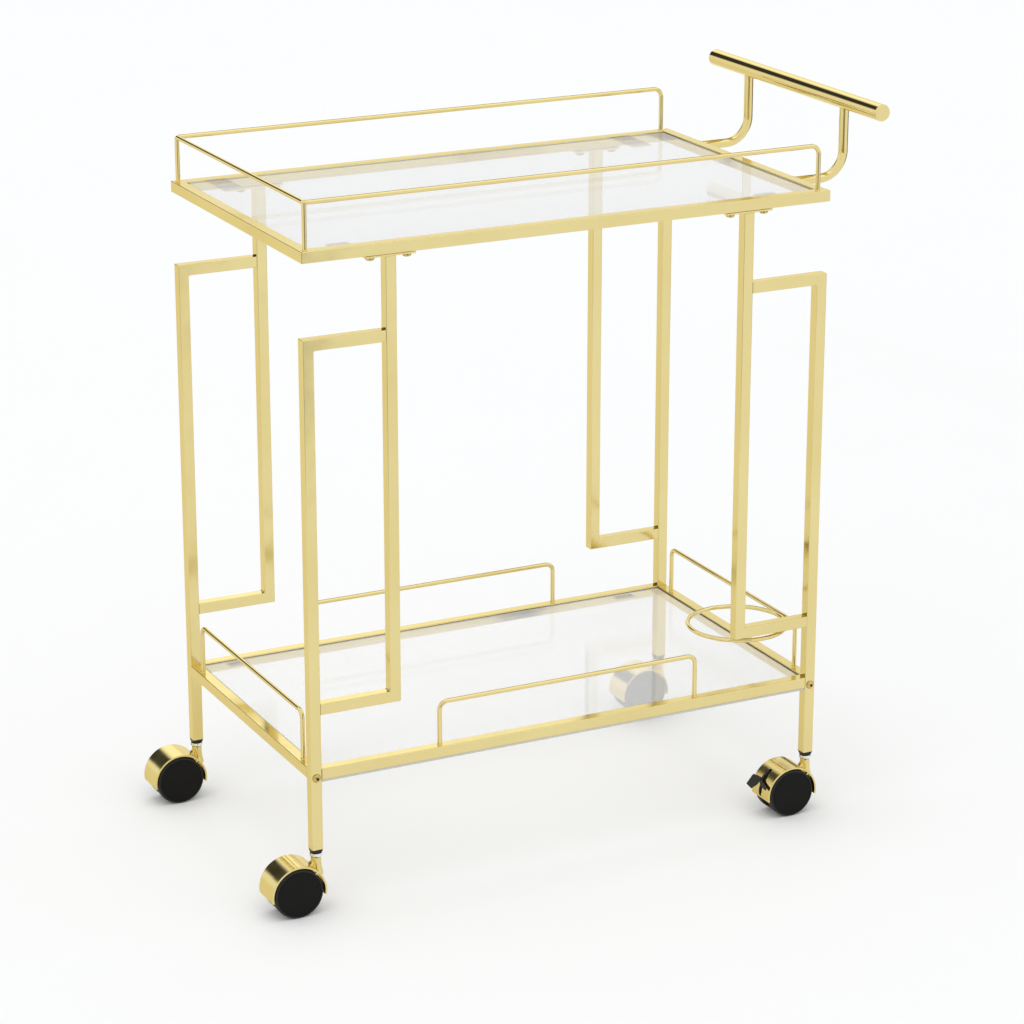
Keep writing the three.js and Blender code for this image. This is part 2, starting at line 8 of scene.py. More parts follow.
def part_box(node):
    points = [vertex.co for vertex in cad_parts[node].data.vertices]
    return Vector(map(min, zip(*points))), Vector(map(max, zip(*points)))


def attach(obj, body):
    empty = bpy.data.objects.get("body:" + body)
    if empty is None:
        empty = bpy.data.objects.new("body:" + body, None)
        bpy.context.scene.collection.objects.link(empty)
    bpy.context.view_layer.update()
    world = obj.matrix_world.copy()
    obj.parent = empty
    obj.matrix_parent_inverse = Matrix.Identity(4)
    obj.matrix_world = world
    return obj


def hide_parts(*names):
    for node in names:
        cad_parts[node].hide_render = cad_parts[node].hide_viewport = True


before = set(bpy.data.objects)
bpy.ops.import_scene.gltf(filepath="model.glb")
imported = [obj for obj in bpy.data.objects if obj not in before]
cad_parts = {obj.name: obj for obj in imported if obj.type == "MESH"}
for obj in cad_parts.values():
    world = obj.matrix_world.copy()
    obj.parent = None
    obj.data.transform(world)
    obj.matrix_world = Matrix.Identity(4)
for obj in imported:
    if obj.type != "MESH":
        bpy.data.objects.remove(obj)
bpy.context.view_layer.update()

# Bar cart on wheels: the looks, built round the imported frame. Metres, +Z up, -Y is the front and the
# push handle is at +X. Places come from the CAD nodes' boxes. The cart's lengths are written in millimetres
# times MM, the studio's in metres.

MM = 0.001

# ------------------------------------------------------------------ sizes that the boxes don't give

LONG_EDGE = 0.85 * MM  # rounding of a square tube's long edges
SEAM_SHARE = 0.35  # how much of that rounding a tube's cut ends get, which shows as a seam line
LEG_LOOP_TOP = 610.5 * MM
LEG_LOOP_BOTTOM = 215 * MM
LEG_LOOP_WIDTH = 102 * MM
PLATE_LENGTH = 55 * MM
PLATE_THICK = 2.5 * MM
PLATE_GAP = 0.5 * MM  # the dark line between a bolting plate and the tray
LEG_BEND = 1.6 * MM  # inside a leg tube's corner
TAB_PLACE = 244 * MM  # from a long beam's middle to the middle of its glass tabs
TAB_LENGTH = 24 * MM
TAB_REACH = {"top_glass": 32 * MM, "lower_glass": 6 * MM}
TAB_ROOT = 1 * MM  # how far a tab goes into its beam
TAB_THICK = 1.6 * MM
PAD_THICK = 0.6 * MM
PAD_INSET = 0.8 * MM  # from a tab's edge to its pad
WIRE = 2.4 * MM  # radius
WIRE_BEND = 9 * MM
CORNER_BEND = 3.2 * MM
STRUT = 5 * MM  # radius
STRUT_BEND = 28 * MM
HOOD_SHELL = 1.9 * MM
SLOT_FROM = 123  # degrees round the wheel axis, where the brake's slot in the hood begins and ends
SLOT_TO = 186
HOOD_WEB = 5.8 * MM  # half thickness
BOSS = 5.4 * MM  # radius
BOLT_SHANK = 2.4 * MM  # radius
PLATE_BOLT = {"head": 3.4 * MM, "dome": 0.35, "length": 11 * MM}  # dome: rounded share of the head's radius
SHELF_BOLT = {"head": 3.2 * MM, "dome": 0.66, "length": 20 * MM}
BEAD = 0.6 * MM  # weld bead round a wire's foot

ENDS = (("left", -1), ("right", 1))
SIDES = (("front", -1), ("back", 1))
CORNERS = [(f"{side}_{end}", sy, sx) for side, sy in SIDES for end, sx in ENDS]


def middle(box):
    return (box[0] + box[1]) / 2


def around(*nodes):
    """Lowest and highest corner of several CAD nodes together."""
    boxes = [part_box(node) for node in nodes]
    low = Vector(min(box[0][i] for box in boxes) for i in range(3))
    high = Vector(max(box[1][i] for box in boxes) for i in range(3))
    return low, high


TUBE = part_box("top_beam_front")[1].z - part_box("top_beam_front")[0].z


# ------------------------------------------------------------------ materials


class Nodes:
    """Short way to build one material's node tree."""

    def __init__(self, name):
        self.material = bpy.data.materials.new(name)
        self.material.use_nodes = True
        self.tree = self.material.node_tree
        self.shader = self.tree.nodes["Principled BSDF"]
        self.place = self.add("ShaderNodeTexCoord").outputs["Object"]

    def add(self, kind, **settings):
        node = self.tree.nodes.new(kind)
        for key, value in settings.items():
            setattr(node, key, value)
        return node

    def link(self, source, target):
        self.tree.links.new(source, target)

    def set(self, **values):
        for key, value in values.items():
            self.shader.inputs[key.replace("_", " ")].default_value = value

    def noise(self, scale, detail=3.0, stretch=None):
        """Noise that is fixed to the object, in features per metre, drawn out along an axis by stretch."""
        source = self.place
        if stretch:
            mapping = self.add("ShaderNodeMapping")
            mapping.inputs["Scale"].default_value = stretch
            self.link(source, mapping.inputs["Vector"])
            source = mapping.outputs["Vector"]
        node = self.add("ShaderNodeTexNoise")
        node.inputs["Scale"].default_value = scale
        node.inputs["Detail"].default_value = detail
        self.link(source, node.inputs["Vector"])
        return node.outputs["Fac"]

    def spread(self, value, low, high, start=0.3, end=0.7):
        """Maps the middle of a noise to a range."""
        node = self.add("ShaderNodeMapRange")
        node.inputs["From Min"].default_value = start
        node.inputs["From Max"].default_value = end
        node.inputs["To Min"].default_value = low
        node.inputs["To Max"].default_value = high
        self.link(value, node.inputs["Value"])
        return node.outputs["Result"]

    def paint(self, factor, first, second):
        """Gives the surface a colour that drifts between two."""
        node = self.add("ShaderNodeMix", data_type="RGBA")
        self.link(factor, node.inputs["Factor"])
        node.inputs["A"].default_value = (*first, 1)
        node.inputs["B"].default_value = (*second, 1)
        self.link(node.outputs["Result"], self.shader.inputs["Base Color"])

    def roughen(self, value, low, high):
        self.link(self.spread(value, low, high), self.shader.inputs["Roughness"])

    def bump(self, height, distance, strength=1.0, under=None):
        node = self.add("ShaderNodeBump")
        node.inputs["Strength"].default_value = strength
        node.inputs["Distance"].default_value = distance
        self.link(height, node.inputs["Height"])
        if under is not None:
            self.link(under, node.inputs["Normal"])
        return node.outputs["Normal"]


def plated(name, light, deep, rough, ripple, fine=900, peel=0.004 * MM, edge=(1.0, 0.94, 0.74)):
    """Polished plating on steel: slow tint drift, faint haze, a trace of waviness and fine polish marks."""
    n = Nodes(name)
    n.shader.inputs["Specular Tint"].default_value = (*edge, 1)
    drift = n.noise(7, 2)
    haze = n.noise(45, 4)
    polish = n.noise(fine, 2, stretch=(1, 1, 0.08))
    n.paint(n.spread(drift, 0, 1), light, deep)
    n.set(Metallic=1.0)
    n.roughen(haze, rough * 0.7, rough * 1.5)
    wavy = n.bump(n.noise(60, 1), ripple)
    n.link(n.bump(polish, peel, 0.35, wavy), n.shader.inputs["Normal"])
    return n.material


def moulded(name, colour, worn, rough, grain_scale, grain_depth, specular=0.3):
    """Moulded plastic or rubber: fine grain, uneven sheen and a slightly paler, dusty cast in places."""
    n = Nodes(name)
    patches = n.noise(38, 5)
    grain = n.noise(grain_scale, 3)
    n.paint(n.spread(patches, 0, 1), colour, worn)
    n.roughen(patches, rough * 0.85, rough * 1.2)
    n.link(n.bump(grain, grain_depth, 0.6), n.shader.inputs["Normal"])
    n.set(Specular_IOR_Level=specular)
    return n.material


def clear_glass(name, grey, pale, veiled):
    """Tempered clear glass with the milky veil that a bright room lays over it."""
    n = Nodes(name)
    veil = n.noise(3.5, 2)
    n.paint(n.spread(veil, 0, 1), grey, pale)
    n.roughen(n.noise(6, 1), 0.028, 0.032)
    n.link(n.spread(veil, veiled - 0.02, veiled + 0.02), n.shader.inputs["Alpha"])
    n.set(IOR=1.5)
    return n.material


def glass_edge(name):
    """The ground rim of a pane, greener and clearer than its face."""
    n = Nodes(name)
    n.paint(n.noise(90, 3), (0.66, 0.70, 0.67), (0.78, 0.81, 0.79))
    n.roughen(n.noise(400, 2), 0.12, 0.3)
    n.set(IOR=1.5, Alpha=0.1)
    return n.material


def silicone(name):
    """Clear soft pad, seen as a grey patch through the glass."""
    n = Nodes(name)
    speck = n.noise(520, 4)
    n.paint(n.spread(speck, 0, 1), (0.46, 0.46, 0.46), (0.68, 0.68, 0.67))
    n.roughen(speck, 0.25, 0.5)
    n.link(n.bump(speck, 0.05 * MM, 0.7), n.shader.inputs["Normal"])
    n.set(Alpha=0.22)
    return n.material


gold_tube = plated("gold_tube", (0.80, 0.68, 0.325), (0.76, 0.635, 0.285), 0.12, 0.02 * MM)
gold_wire = plated("gold_wire", (0.80, 0.675, 0.32), (0.76, 0.63, 0.275), 0.10, 0.01 * MM)
gold_bar = plated("gold_bar", (0.79, 0.665, 0.31), (0.75, 0.62, 0.265), 0.07, 0.008 * MM)
gold_hood = plated("gold_hood", (0.79, 0.665, 0.30), (0.75, 0.61, 0.25), 0.12, 0.16 * MM, 300, 0.05 * MM)
# the bolts' plating is a darker, browner copy of the tubes' gold: painted shade on the bolt heads
gold_bolt_shaded = plated("gold_bolt_shaded", (0.66, 0.52, 0.21), (0.52, 0.39, 0.14), 0.20, 0.02 * MM)
SILVER_EDGE = (1.0, 1.0, 1.0)
chrome = plated("stem_chrome", (0.86, 0.865, 0.87), (0.78, 0.785, 0.79), 0.12, 0.01 * MM, edge=SILVER_EDGE)
steel = plated("axle_steel", (0.50, 0.51, 0.52), (0.40, 0.41, 0.42), 0.3, 0.01 * MM, edge=SILVER_EDGE)
BLACK = (0.010, 0.010, 0.010)
DUSTY = (0.020, 0.020, 0.019)
plug_black = moulded("plug_black", (0.006, 0.006, 0.006), (0.012, 0.012, 0.012), 0.36, 1400, 0.03 * MM)
pedal_black = moulded("pedal_black", BLACK, DUSTY, 0.42, 1500, 0.04 * MM)
disc_black = moulded("disc_black", (0.007, 0.007, 0.0065), (0.010, 0.010, 0.0095), 0.55, 2200, 0.03 * MM, 0.1)
tread_black = moulded("tread_black", BLACK, DUSTY, 0.60, 1100, 0.08 * MM, 0.35)
top_clear = clear_glass("top_glass", (0.70, 0.705, 0.708), (0.725, 0.73, 0.735), 0.42)
# the lower pane's colour is paler than the top pane's: painted light that makes up for the shade it lies in
# under the tray
lower_clear_brightened = clear_glass("lower_glass", (0.82, 0.825, 0.832), (0.845, 0.85, 0.858), 0.375)
rim_glass = glass_edge("rim_glass")
pad_clear = silicone("pad_clear")
# darker plating for the bolts' hexagon sockets: painted shade in the recess
socket_painted_shade = plated("socket_painted_shade", (0.20, 0.15, 0.06), (0.12, 0.09, 0.04), 0.35, 0.02 * MM)
strip_grey = moulded("strip_grey", (0.56, 0.55, 0.50), (0.62, 0.61, 0.56), 0.5, 900, 0.03 * MM)
# dark colour of the strips round the panes: painted shade of the gap between glass and tubes
seal_painted_shade = moulded("seal_painted_shade", (0.10, 0.085, 0.065), (0.15, 0.13, 0.10), 0.5, 900, 0.03 * MM)

# ------------------------------------------------------------------ mesh tools

WEIGHT = "bevel_weight_edge"


def start():
    bm = bmesh.new()
    bm.edges.layers.float.new(WEIGHT)
    return bm


def weigh(bm, edges, value):
    layer = bm.edges.layers.float[WEIGHT]
    for edge in edges:
        edge[layer] = value


def slab(bm, first, last):
    """A closed solid between two outlines of the same length. Returns its two rings of vertices."""
    a = [bm.verts.new(point) for point in first]
    b = [bm.verts.new(point) for point in last]
    bm.faces.new(a)
    bm.faces.new(b)
    ring_faces(bm, [a, b])
    return a, b


def prism(bm, first, last, along=1.0, across=1.0):
    """A slab with its edges weighed for rounding: those from outline to outline, and those round them."""
    a, b = slab(bm, first, last)
    count = len(a)
    weigh(bm, [bm.edges.get((a[i], b[i])) for i in range(count)], along)
    rims = [bm.edges.get((ring[i], ring[(i + 1) % count])) for ring in (a, b) for i in range(count)]
    weigh(bm, rims, across)


def square_tube(bm, low, high, axis, mitre=None):
    """A square tube that fills a box. mitre = (axis, side): cut at 45 degrees, longest on that side."""
    others = [i for i in range(3) if i != axis]
    ring = ((0, 0), (1, 0), (1, 1), (0, 1))
    outlines = []
    for end, inward in ((low[axis], 1), (high[axis], -1)):
        points = []
        for pick in ring:
            point = [0.0, 0.0, 0.0]
            point[axis] = end
            for other, which in zip(others, pick):
                point[other] = (low, high)[which][other]
            if mitre:
                across, side = mitre
                inner = low[across] if side > 0 else high[across]
                if point[across] == inner:
                    point[axis] += inward * (high[across] - low[across])
            points.append(Vector(point))
        outlines.append(points)
    prism(bm, *outlines, along=1.0, across=SEAM_SHARE)


def ring_faces(bm, rings):
    """Skins neighbouring rings of vertices with quads."""
    for one, two in zip(rings, rings[1:]):
        count = len(one)
        for i in range(count):
            j = (i + 1) % count
            bm.faces.new((one[i], one[j], two[j], two[i]))


def capped(bm, rings):
    """Skins rings into a solid with a flat face at each end."""
    ring_faces(bm, rings)
    bm.faces.new(rings[0])
    bm.faces.new(rings[-1])


def turned(bm, profile, matrix, steps=48):
    """A turned solid about the local Z axis from [radius, height] points, with its ends on the axis."""
    rings = []
    for radius, height in profile:
        if radius <= 0:
            rings.append([bm.verts.new(matrix @ Vector((0, 0, height)))])
            continue
        ring = []
        for i in range(steps):
            angle = math.tau * i / steps
            point = Vector((radius * math.cos(angle), radius * math.sin(angle), height))
            ring.append(bm.verts.new(matrix @ point))
        rings.append(ring)
    for one, two in zip(rings, rings[1:]):
        if len(one) == 1 or len(two) == 1:
            tip, ring = (one[0], two) if len(one) == 1 else (two[0], one)
            for i in range(steps):
                bm.faces.new((tip, ring[i], ring[(i + 1) % steps]))
        else:
            ring_faces(bm, [one, two])


def arc_points(centre, radius, from_degrees, to_degrees, steps):
    """Points on an arc in a plane, as (first, second) pairs."""
    points = []
    for i in range(steps + 1):
        angle = math.radians(from_degrees + (to_degrees - from_degrees) * i / steps)
        points.append((centre[0] + radius * math.cos(angle), centre[1] + radius * math.sin(angle)))
    return points


def rounded_outline(low, high, radius, steps=4):
    """A rectangle with round corners, anticlockwise, as (first, second) pairs."""
    (x0, y0), (x1, y1) = low, high
    corners = (
        ((x1 - radius, y0 + radius), -90),
        ((x1 - radius, y1 - radius), 0),
        ((x0 + radius, y1 - radius), 90),
        ((x0 + radius, y0 + radius), 180),
    )
    return [p for centre, turn in corners for p in arc_points(centre, radius, turn, turn + 90, steps)]


def band(bm, section, centre, from_degrees, to_degrees, steps):
    """A section of [radius, y] points swept about the Y axis through centre, closed at both ends."""
    rings = []
    for i in range(steps + 1):
        angle = math.radians(from_degrees + (to_degrees - from_degrees) * i / steps)
        out = Vector((math.cos(angle), 0, math.sin(angle)))
        rings.append([bm.verts.new(centre + out * radius + Vector((0, y, 0))) for radius, y in section])
    capped(bm, rings)


def extruded(bm, outline, centre, y0, y1, along=1.0, across=1.0):
    """An outline of (x, z) points about centre, extruded along Y."""
    first = [centre + Vector((x, y0, z)) for x, z in outline]
    last = [centre + Vector((x, y1, z)) for x, z in outline]
    prism(bm, first, last, along, across)


def dress(piece, body, node=None):
    """Tells what a piece rides on and which CAD node it stands for, if any."""
    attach(piece, body)
    if node:
        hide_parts(node)


def flatten(piece):
    """Lets the large faces decide the shading, so that they look flat up to their rounded rims."""
    weighted = piece.modifiers.new("flat_faces", "WEIGHTED_NORMAL")
    weighted.mode = "FACE_AREA"
    weighted.weight = 50
    weighted.keep_sharp = True


def finish_mesh(name, bm, materials, rounding=0.0, segments=3, sharp=32, pick=None):
    """Turns the mesh into an object, smooth except at sharp edges, with its weighed edges rounded."""
    bmesh.ops.recalc_face_normals(bm, faces=bm.faces)
    mesh = bpy.data.meshes.new(name)
    bm.to_mesh(mesh)
    bm.free()
    for material in materials:
        mesh.materials.append(material)
    mesh.shade_smooth()
    mesh.set_sharp_from_angle(angle=math.radians(sharp))
    if pick:
        for face in mesh.polygons:
            face.material_index = pick(face)
    piece = bpy.data.objects.new(name, mesh)
    bpy.context.scene.collection.objects.link(piece)
    if rounding:
        bevel = piece.modifiers.new("rounding", "BEVEL")
        bevel.width = rounding
        bevel.segments = segments
        bevel.limit_method = "WEIGHT"
        bevel.harden_normals = True
    else:
        flatten(piece)
    return piece


def bent(points, bends, steps=10):
    """A centre line through corner points, each inner corner rounded by its bend radius."""
    line = [points[0]]
    for before, corner, after, radius in zip(points, points[1:], points[2:], bends):
        into = (corner - before).normalized()
        out = (after - corner).normalized()
        centre = corner - into * radius + out * radius
        for i in range(steps + 1):
            angle = math.pi / 2 * i / steps
            line.append(centre - out * radius * math.cos(angle) + into * radius * math.sin(angle))
    line.append(points[-1])
    return line


def rod(bm, line, radius, sides=20, closed=False):
    """A round rod along a centre line, with flat ends or joined into a ring."""
    count = len(line)
    tangents = []
    for i in range(count):
        before = line[i - 1] if closed or i else line[0]
        after = line[(i + 1) % count] if closed or i < count - 1 else line[-1]
        tangents.append((after - before).normalized())
    side = Vector((0, 1, 0)) if abs(tangents[0].y) < 0.9 else Vector((1, 0, 0))
    side = (side - tangents[0] * side.dot(tangents[0])).normalized()
    rings = []
    for i, (point, tangent) in enumerate(zip(line, tangents)):
        if i:
            side = tangents[i - 1].rotation_difference(tangent) @ side
        other = tangent.cross(side)
        ring = []
        for k in range(sides):
            angle = math.tau * k / sides
            ring.append(bm.verts.new(point + (side * math.cos(angle) + other * math.sin(angle)) * radius))
        rings.append(ring)
    if closed:
        ring_faces(bm, rings + [rings[0]])
    else:
        capped(bm, rings)


def weld_bead(bm, foot):
    """A small round bead where a wire stands on a tube."""
    sunk = 0.2 * MM
    profile = [
        (0, -sunk),
        (WIRE + BEAD, -sunk),
        (WIRE + BEAD * 0.92, BEAD * 0.25),
        (WIRE + BEAD * 0.45, BEAD * 0.7),
        (WIRE, BEAD),
        (0, BEAD),
    ]
    turned(bm, profile, Matrix.Translation(foot), 24)


# ------------------------------------------------------------------ square-tube frame


def glass_tabs(bm, beam, inward, glass):
    """The steel tabs that carry a pane, on the inner face of a long beam."""
    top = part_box(glass)[0].z - PAD_THICK
    inner = tube_inner_face(beam, inward)
    ys = sorted((inner - inward * TAB_ROOT, inner + inward * TAB_REACH[glass]))
    for sx in (-1, 1):
        x = middle(beam).x + sx * TAB_PLACE
        low = Vector((x - TAB_LENGTH / 2, ys[0], top - TAB_THICK))
        high = Vector((x + TAB_LENGTH / 2, ys[1], top))
        square_tube(bm, low, high, 1)


def tube_inner_face(beam, inward):
    """Where a long beam's inner face is. It is found from the outer one, as the box also holds the tabs."""
    outer = beam[0].y if inward > 0 else beam[1].y
    return outer + inward * TUBE


def long_beam(name, node, side, glass, mitred):
    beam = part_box(node)
    inward = -side
    outer = beam[0].y if side < 0 else beam[1].y
    ys = sorted((outer, outer + inward * TUBE))
    low = Vector((beam[0].x, ys[0], beam[1].z - TUBE))
    high = Vector((beam[1].x, ys[1], beam[1].z))
    bm = start()
    square_tube(bm, low, high, 0, (1, side) if mitred else None)
    glass_tabs(bm, beam, inward, glass)
    piece = finish_mesh(name, bm, [gold_tube], LONG_EDGE)
    dress(piece, "frame", node)


def short_beam(name, node, end, mitred):
    low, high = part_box(node)
    bm = start()
    square_tube(bm, low, high, 1, (0, end) if mitred else None)
    piece = finish_mesh(name, bm, [gold_tube], LONG_EDGE)
    dress(piece, "frame", node)


for side_name, sy in SIDES:
    long_beam(f"tray_tube_{side_name}", f"top_beam_{side_name}", sy, "top_glass", True)
    long_beam(f"shelf_tube_{side_name}", f"shelf_beam_{side_name}", sy, "lower_glass", False)
for end_name, sx in ENDS:
    short_beam(f"tray_tube_{end_name}", f"top_beam_{end_name}", sx, True)
    short_beam(f"shelf_tube_{end_name}", f"shelf_beam_{end_name}", sx, False)


def bent_tube(bm, outline, y0, y1, cuts, rounds):
    """A flat-sided tube bent in the XZ plane, from its outline of (x, z) points between two Y planes.
    cuts holds the outline edges where the tube is cut off, rounds the points inside a bend."""
    a, b = slab(bm, [(x, y0, z) for x, z in outline], [(x, y1, z) for x, z in outline])
    count = len(a)
    for i in range(count):
        j = (i + 1) % count
        weigh(bm, [bm.edges.get((ring[i], ring[j])) for ring in (a, b)], SEAM_SHARE if i in cuts else 1.0)
        at_cut = i in cuts or (i - 1) % count in cuts
        weigh(bm, [bm.edges.get((a[i], b[i]))], 0.0 if i in rounds else SEAM_SHARE if at_cut else 1.0)


def leg(corner, sx):
    """The outer post bends into the upper bar and the inner post into the lower one. Each bar's end is
    welded to the other post. The bolting plate lies on top of the inner post."""
    node = f"leg_{corner}"
    low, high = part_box(node)
    outer = low.x if sx < 0 else high.x
    top = high.z - PLATE_THICK
    inner = LEG_LOOP_WIDTH - TUBE
    under = LEG_LOOP_TOP - TUBE
    over = LEG_LOOP_BOTTOM + TUBE

    def place(points):
        """Outline points given as distance inwards from the outer face, and height."""
        return [(outer - sx * along, z) for along, z in points]

    bm = start()
    upper = [(0, low.z), (0, LEG_LOOP_TOP), (inner, LEG_LOOP_TOP), (inner, under)]
    upper += arc_points((TUBE + LEG_BEND, under - LEG_BEND), LEG_BEND, 90, 180, 4)
    upper += [(TUBE, low.z)]
    bent_tube(bm, place(upper), low.y, high.y, {2, len(upper) - 1}, set(range(4, len(upper) - 1)))
    lower = [(LEG_LOOP_WIDTH, top), (LEG_LOOP_WIDTH, LEG_LOOP_BOTTOM), (TUBE, LEG_LOOP_BOTTOM), (TUBE, over)]
    lower += arc_points((inner - LEG_BEND, over + LEG_BEND), LEG_BEND, -90, 0, 4)
    lower += [(inner, top)]
    bent_tube(bm, place(lower), low.y, high.y, {2, len(lower) - 1}, set(range(4, len(lower) - 1)))

    plate_middle = outer - sx * (LEG_LOOP_WIDTH - TUBE / 2)
    half = PLATE_LENGTH / 2
    plate_low = Vector((plate_middle - half, low.y, top))
    plate_high = Vector((plate_middle + half, high.y, high.z - PLATE_GAP))
    square_tube(bm, plate_low, plate_high, 2)
    piece = finish_mesh(f"leg_tubes_{corner}", bm, [gold_tube], LONG_EDGE)
    dress(piece, "frame", node)


for corner, _, sx in CORNERS:
    leg(corner, sx)

# ------------------------------------------------------------------ glass and its pads


def pane(name, node, material):
    """A pane with round corners and ground edges. It casts no shadow and doesn't show in reflections."""
    low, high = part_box(node)
    outline = rounded_outline(low.xy, high.xy, 2.5 * MM)
    bm = start()
    prism(bm, [Vector((x, y, low.z)) for x, y in outline], [Vector((x, y, high.z)) for x, y in outline], 0, 1)

    def pick(face):
        return 0 if abs(face.normal.z) > 0.5 else 1

    piece = finish_mesh(name, bm, [material, rim_glass], 0.5 * MM, 2, pick=pick)
    piece.visible_shadow = False
    piece.visible_diffuse = False
    piece.visible_glossy = False
    dress(piece, "frame", node)


def pads(name, glass, beams):
    """Clear soft pads between a pane and its tabs."""
    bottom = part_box(glass)[0].z
    bm = start()
    for node, inward in beams:
        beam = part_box(node)
        inner = tube_inner_face(beam, inward)
        ys = sorted((inner + inward * 1.2 * MM, inner + inward * (TAB_REACH[glass] - PAD_INSET)))
        half = TAB_LENGTH / 2 - PAD_INSET
        for sx in (-1, 1):
            x = middle(beam).x + sx * TAB_PLACE
            outline = rounded_outline((x - half, ys[0]), (x + half, ys[1]), 3 * MM)
            first = [Vector((px, py, bottom - PAD_THICK)) for px, py in outline]
            last = [Vector((px, py, bottom - 0.05 * MM)) for px, py in outline]
            prism(bm, first, last, 0, 0.4)
    piece = finish_mesh(name, bm, [pad_clear], 0.4 * MM, 2)
    dress(piece, "frame")


def seal(name, glass):
    """A dark soft strip in the gap between a pane and its four tubes, just below the pane's top face. Its
    dark colour is painted shade of the gap.
    """
    low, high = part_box(glass)
    inner = 0.3 * MM
    outer = 1.9 * MM
    top = high.z - 1.0 * MM
    bottom = top - 0.6 * MM
    bm = start()
    for axis in (0, 1):
        across = 1 - axis
        past_end = outer if axis == 0 else 0
        for edge, out in ((low[across], -1), (high[across], 1)):
            first = Vector((0, 0, bottom))
            last = Vector((0, 0, top))
            first[axis] = low[axis] - past_end
            last[axis] = high[axis] + past_end
            first[across], last[across] = sorted((edge + out * inner, edge + out * outer))
            square_tube(bm, first, last, axis)
    piece = finish_mesh(name, bm, [seal_painted_shade], 0.15 * MM, 2)
    dress(piece, "frame")


def strip(name, node, side):
    """A thin grey strip just under a long beam of the lower shelf, set in a little from its outer face."""
    low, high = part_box(node)
    outer = low.y if side < 0 else high.y
    bottom = high.z - TUBE
    gap = 0.3 * MM
    ys = sorted((outer - side * 0.9 * MM, outer - side * 2.4 * MM))
    bm = start()
    strip_low = Vector((low.x + gap, ys[0], bottom - 2.6 * MM))
    strip_high = Vector((high.x - gap, ys[1], bottom + 0.4 * MM))
    square_tube(bm, strip_low, strip_high, 0)
    piece = finish_mesh(name, bm, [strip_grey], 0.4 * MM, 2)
    dress(piece, "frame")


strip("shelf_strip_front", "shelf_beam_front", -1)
strip("shelf_strip_back", "shelf_beam_back", 1)
seal("top_seal", "top_glass")
seal("lower_seal", "lower_glass")
pane("top_pane", "top_glass", top_clear)
pane("lower_pane", "lower_glass", lower_clear_brightened)
pads("top_pads", "top_glass", [("top_beam_front", 1), ("top_beam_back", -1)])
pads("lower_pads", "lower_glass", [("shelf_beam_front", 1), ("shelf_beam_back", -1)])

# ------------------------------------------------------------------ wire rails, ring and handle


def guard():
    """One wire round three sides of the tray, open at the handle end, with two uprights at the left."""
    low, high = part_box("top_guard_rail")
    x0, x1 = low.x + WIRE, high.x - WIRE
    y0, y1 = low.y + WIRE, high.y - WIRE
    z = high.z - WIRE
    corners = [
        Vector((x1, y0, low.z)),
        Vector((x1, y0, z)),
        Vector((x0, y0, z)),
        Vector((x0, y1, z)),
        Vector((x1, y1, z)),
        Vector((x1, y1, low.z)),
    ]
    bm = start()
    rod(bm, bent(corners, [WIRE_BEND, CORNER_BEND, CORNER_BEND, WIRE_BEND]), WIRE)
    for y in (y0, y1):
        rod(bm, [Vector((x0, y, low.z)), Vector((x0, y, z))], WIRE)
        weld_bead(bm, Vector((x0, y, low.z)))
        weld_bead(bm, Vector((x1, y, low.z)))
    piece = finish_mesh("guard_wire", bm, [gold_wire])
    dress(piece, "frame", "top_guard_rail")


def hoop(name, node):
    """A wire hoop standing on a shelf beam."""
    low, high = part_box(node)
    centre = middle((low, high))
    z = high.z - WIRE
    along = 0 if high.x - low.x > high.y - low.y else 1
    feet = []
    for end in (low[along] + WIRE, high[along] - WIRE):
        foot = centre.copy()
        foot[along] = end
        foot.z = low.z
        feet.append(foot)
    tops = [Vector((foot.x, foot.y, z)) for foot in feet]
    bm = start()
    rod(bm, bent([feet[0], *tops, feet[1]], [WIRE_BEND, WIRE_BEND]), WIRE)
    for foot in feet:
        weld_bead(bm, foot)
    piece = finish_mesh(name, bm, [gold_wire])
    dress(piece, "frame", node)


def ring():
    low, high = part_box("bottle_ring")
    centre = middle((low, high))
    radius = (high.x - low.x) / 2 - WIRE
    steps = 96
    line = []
    for i in range(steps):
        angle = math.tau * i / steps
        line.append(centre + Vector((math.cos(angle), math.sin(angle), 0)) * radius)
    bm = start()
    rod(bm, line, WIRE, closed=True)
    piece = finish_mesh("ring_wire", bm, [gold_wire])
    dress(piece, "frame", "bottle_ring")


guard()
for name in ("front", "back", "left", "right"):
    hoop(f"hoop_{name}", f"shelf_rail_{name}")
ring()


def grip():
    """The grip bar, a round tube with closed ends and a small broken edge."""
    low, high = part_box("handle_bar")
    centre = middle((low, high))
    radius = (high.z - low.z) / 2
    half = (high.y - low.y) / 2
    edge = 0.8 * MM
    profile = [(0, -half)]
    profile += arc_points((radius - edge, edge - half), edge, -90, 0, 6)
    profile += arc_points((radius - edge, half - edge), edge, 0, 90, 6)
    profile += [(0, half)]
    bm = start()
    turned(bm, profile, Matrix.Translation(centre) @ Matrix.Rotation(-math.pi / 2, 4, "X"), 64)
    piece = finish_mesh("grip_bar", bm, [gold_bar])
    dress(piece, "frame", "handle_bar")


